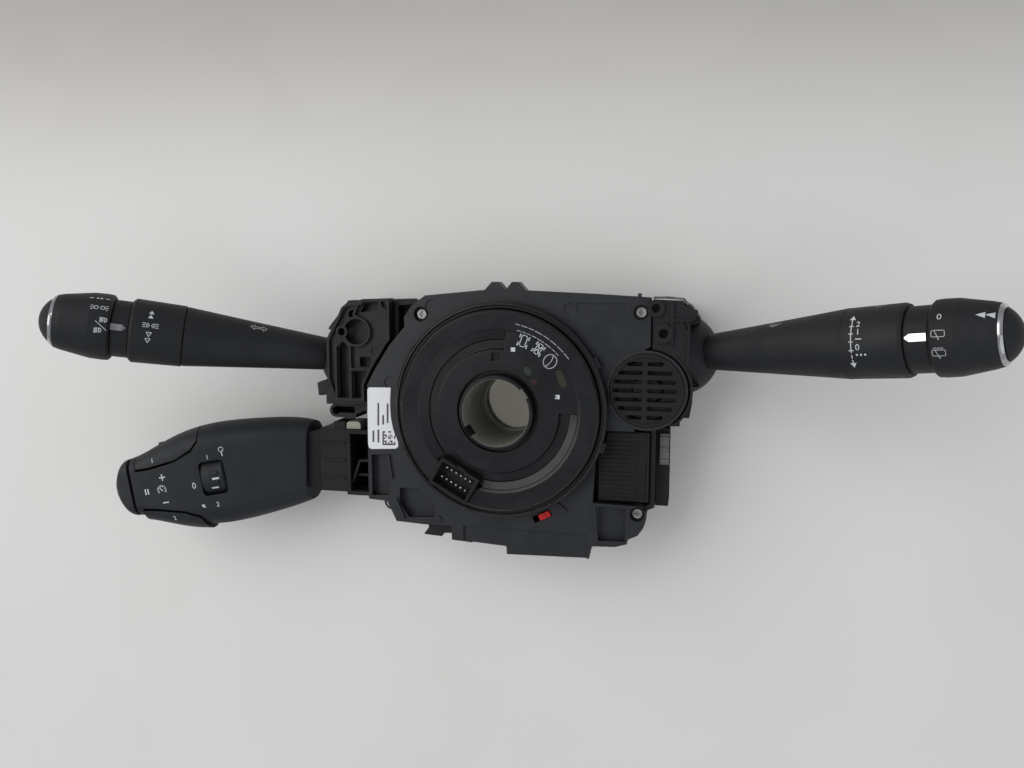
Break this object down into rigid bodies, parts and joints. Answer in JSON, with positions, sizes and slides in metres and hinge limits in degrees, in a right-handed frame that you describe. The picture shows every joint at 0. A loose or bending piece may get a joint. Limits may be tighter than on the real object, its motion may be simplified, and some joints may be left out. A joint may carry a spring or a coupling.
{
  "type": "combination stalk switch",
  "caption": "Steering-column switch module with turn-signal and wiper stalks, a cruise paddle and a central clock-spring rotor.",
  "frame": {"origin": "centre of the steering-column bore at the module's rear face", "axes": "+X along the stalks towards the wiper side, +Y up, +Z along the column towards the driver"},
  "size_m": [0.4167, 0.1295, 0.098],
  "materials": {
    "charcoal_plastic": "fine-grained matte",
    "black_plastic": "matte",
    "gloss_black": "satin",
    "grey_plastic": "matte",
    "red_plastic": "satin",
    "green_board": "solder-mask gloss",
    "chrome_trim": "polished",
    "steel": "zinc plated",
    "cable": "film",
    "contact_metal": "plated",
    "white_acetal": "smooth",
    "mesh": "satin"
  },
  "bodies": {
    "column_module": {"bay_cover": "black_plastic", "bore_sleeve": "grey_plastic", "bracket_clip": "grey_plastic", "carrier_housing": "black_plastic", "cassette_rim": "gloss_black", "cassette_tray": "black_plastic", "connector_lock": "grey_plastic", "cover_screws": "steel", "cruise_board": "green_board", "cruise_bracket": "black_plastic", "cruise_front_shell": "charcoal_plastic", "cruise_latch": "black_plastic", "cruise_plug": "black_plastic", "cruise_rear_shell": "charcoal_plastic", "flat_cable": "cable", "front_cover": "black_plastic", "left_detent_track": "white_acetal", "left_switch_housing": "black_plastic", "main_board": "green_board", "rear_cover": "black_plastic", "right_detent_track": "white_acetal", "right_switch_housing": "black_plastic", "sensor_fork": "black_plastic", "side_connector": "black_plastic", "side_connector_pins": "contact_metal", "speaker_driver": "black_plastic", "speaker_grille": "mesh", "top_clip": "steel"},
    "rotor": {"rotor_disc": "gloss_black", "rotor_hub": "gloss_black", "code_disc": "white_acetal", "rotor_connector": "black_plastic", "rotor_pins": "contact_metal"},
    "lock": {"lock_tab": "red_plastic"},
    "left_sweep": {"left_carrier": "white_acetal", "left_detent_plunger": "white_acetal"},
    "left_lever": {"left_core": "white_acetal", "left_stalk_body": "charcoal_plastic", "left_ball_cap": "charcoal_plastic", "left_pointer": "chrome_trim"},
    "left_twist": {"left_knob": "charcoal_plastic", "left_knob_ring": "chrome_trim"},
    "left_press": {"left_end_button": "charcoal_plastic"},
    "right_sweep": {"right_carrier": "white_acetal", "right_detent_plunger": "white_acetal"},
    "right_lever": {"right_core": "white_acetal", "right_stalk_body": "charcoal_plastic", "right_ball_cap": "charcoal_plastic", "right_pointer": "chrome_trim"},
    "right_twist": {"right_knob": "charcoal_plastic", "right_knob_ring": "chrome_trim"},
    "right_press": {"right_end_button": "charcoal_plastic"},
    "fog_ring": {"left_fog_ring": "charcoal_plastic"},
    "wheel": {"cruise_wheel": "black_plastic"},
    "paddle_end": {"cruise_end_button": "charcoal_plastic"},
    "paddle_upper": {"cruise_upper_button": "charcoal_plastic"},
    "paddle_lower": {"cruise_lower_button": "charcoal_plastic"}
  },
  "joints": [
    {"name": "rotor_turn", "type": "hinge", "parent": "column_module", "child": "rotor", "pos_m": [0, 0, 0.05], "axis": [0, 0, 1], "range_deg": [-900, 900]},
    {"name": "lock_slide", "type": "slide", "parent": "column_module", "child": "lock", "axis": [-0.891, -0.454, 0], "range_m": [0, 0.003]},
    {"name": "left_sweep", "type": "hinge", "parent": "column_module", "child": "left_sweep", "pos_m": [-0.08, 0.0204, 0.0198], "axis": [0, 0, 1], "range_deg": [-12, 12]},
    {"name": "left_pull", "type": "hinge", "parent": "left_sweep", "child": "left_lever", "pos_m": [-0.08, 0.0204, 0.0198], "axis": [0.1659, 0.9861, 0], "range_deg": [0, 8], "stiffness_Nm_per_rad": 1.6, "springref_deg": -8.59},
    {"name": "left_knob_twist", "type": "hinge", "parent": "left_lever", "child": "left_twist", "pos_m": [-0.08, 0.0204, 0.0198], "axis": [-0.8655, 0.1456, 0.4793], "range_deg": [0, 60]},
    {"name": "left_end_press", "type": "slide", "parent": "left_twist", "child": "left_press", "axis": [0.8655, -0.1456, -0.4793], "range_m": [0, 0.0015], "stiffness_N_per_m": 1000, "springref_m": -0.0005},
    {"name": "right_sweep", "type": "hinge", "parent": "column_module", "child": "right_sweep", "pos_m": [0.08, 0.0254, 0.0198], "axis": [0, 0, 1], "range_deg": [-6, 16]},
    {"name": "right_pull", "type": "hinge", "parent": "right_sweep", "child": "right_lever", "pos_m": [0.08, 0.0254, 0.0198], "axis": [0.1219, -0.9925, 0], "range_deg": [0, 8], "stiffness_Nm_per_rad": 1.6, "springref_deg": -8.59},
    {"name": "right_knob_twist", "type": "hinge", "parent": "right_lever", "child": "right_twist", "pos_m": [0.08, 0.0254, 0.0198], "axis": [0.8711, 0.107, 0.4793], "range_deg": [0, 40]},
    {"name": "right_end_press", "type": "slide", "parent": "right_twist", "child": "right_press", "axis": [-0.8711, -0.107, -0.4793], "range_m": [0, 0.0015], "stiffness_N_per_m": 1000, "springref_m": -0.0005},
    {"name": "fog_ring_twist", "type": "hinge", "parent": "left_lever", "child": "fog_ring", "pos_m": [-0.08, 0.0204, 0.0198], "axis": [-0.8655, 0.1456, 0.4793], "range_deg": [-20, 20], "stiffness_Nm_per_rad": 0.2},
    {"name": "wheel_roll", "type": "hinge", "parent": "column_module", "child": "wheel", "pos_m": [-0.15254, -0.04073, 0.03565], "axis": [-0.9692, -0.1744, 0.1736], "range_deg": [-30, 30], "stiffness_Nm_per_rad": 0.05},
    {"name": "paddle_end_press", "type": "slide", "parent": "column_module", "child": "paddle_end", "axis": [0.9692, 0.1744, -0.1736], "range_m": [0, 0.0012], "stiffness_N_per_m": 1000, "springref_m": -0.0005},
    {"name": "paddle_upper_press", "type": "slide", "parent": "column_module", "child": "paddle_upper", "axis": [0.1771, -0.9842, 0], "range_m": [0, 0.0008], "stiffness_N_per_m": 1000, "springref_m": -0.0005},
    {"name": "paddle_lower_press", "type": "slide", "parent": "column_module", "child": "paddle_lower", "axis": [-0.1771, 0.9842, 0], "range_m": [0, 0.0008], "stiffness_N_per_m": 1000, "springref_m": -0.0005}
  ]
}
